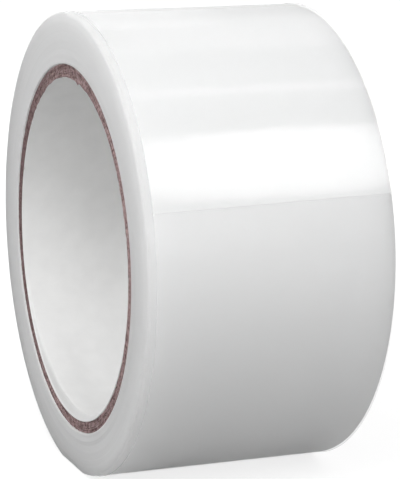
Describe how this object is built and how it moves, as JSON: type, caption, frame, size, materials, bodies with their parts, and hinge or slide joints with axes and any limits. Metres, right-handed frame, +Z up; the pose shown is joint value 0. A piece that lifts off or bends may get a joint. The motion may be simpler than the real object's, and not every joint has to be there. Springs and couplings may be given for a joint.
{
  "type": "sealing tape roll",
  "caption": "Wide roll of clear weather sealing tape on a chipboard core, standing on its rim, with a free end on its front that lifts and uncurls.",
  "frame": {"origin": "on the floor, in the middle of the flat that the roll stands on", "axes": "+X along the roll's axis, away from the end that the picture shows; +Z up; -Y is the front, where the free end lies"},
  "size_m": [0.055, 0.1031, 0.1029],
  "materials": {
    "film": "gloss",
    "adhesive": "satin",
    "wound_tape": "satin",
    "liner_paper": "matte",
    "chipboard": "matte"
  },
  "bodies": {
    "roll": {"core_liner": "liner_paper", "core_ply_1": "chipboard", "core_ply_2": "chipboard", "core_ply_3": "chipboard", "core_ply_4": "chipboard", "core_ply_5": "chipboard", "tape_wound_body": "wound_tape", "outer_turn_adhesive": "adhesive", "outer_turn_film": "film"},
    "tail_1": {"tail_adhesive_1": "adhesive", "tail_film_1": "film"},
    "tail_2": {"tail_adhesive_2": "adhesive", "tail_film_2": "film"},
    "tail_3": {"tail_adhesive_3": "adhesive", "tail_film_3": "film"},
    "tail_4": {"tail_adhesive_4": "adhesive", "tail_film_4": "film"},
    "tail_5": {"tail_adhesive_5": "adhesive", "tail_film_5": "film"},
    "tail_6": {"tail_adhesive_6": "adhesive", "tail_film_6": "film"}
  },
  "joints": [
    {"name": "peel_lift", "type": "hinge", "parent": "roll", "child": "tail_1", "pos_m": [0.0009, -0.0005, 0.10287], "axis": [-1, 0, 0], "range_deg": [0, 120]},
    {"name": "uncurl_1", "type": "hinge", "parent": "tail_1", "child": "tail_2", "pos_m": [0.0009, -0.01124, 0.10166], "axis": [-1, 0, 0], "range_deg": [0, 12]},
    {"name": "uncurl_2", "type": "hinge", "parent": "tail_2", "child": "tail_3", "pos_m": [0.0009, -0.0215, 0.09826], "axis": [-1, 0, 0], "range_deg": [0, 12]},
    {"name": "uncurl_3", "type": "hinge", "parent": "tail_3", "child": "tail_4", "pos_m": [0.0009, -0.03083, 0.0928], "axis": [-1, 0, 0], "range_deg": [0, 12]},
    {"name": "uncurl_4", "type": "hinge", "parent": "tail_4", "child": "tail_5", "pos_m": [0.0009, -0.03883, 0.08552], "axis": [-1, 0, 0], "range_deg": [0, 12]},
    {"name": "uncurl_5", "type": "hinge", "parent": "tail_5", "child": "tail_6", "pos_m": [0.0009, -0.04515, 0.07673], "axis": [-1, 0, 0], "range_deg": [0, 12]}
  ],
  "couplings": [
    {"joint": "uncurl_1", "follows": "peel_lift", "ratio": 0.1},
    {"joint": "uncurl_2", "follows": "peel_lift", "ratio": 0.1},
    {"joint": "uncurl_3", "follows": "peel_lift", "ratio": 0.1},
    {"joint": "uncurl_4", "follows": "peel_lift", "ratio": 0.1},
    {"joint": "uncurl_5", "follows": "peel_lift", "ratio": 0.1}
  ]
}
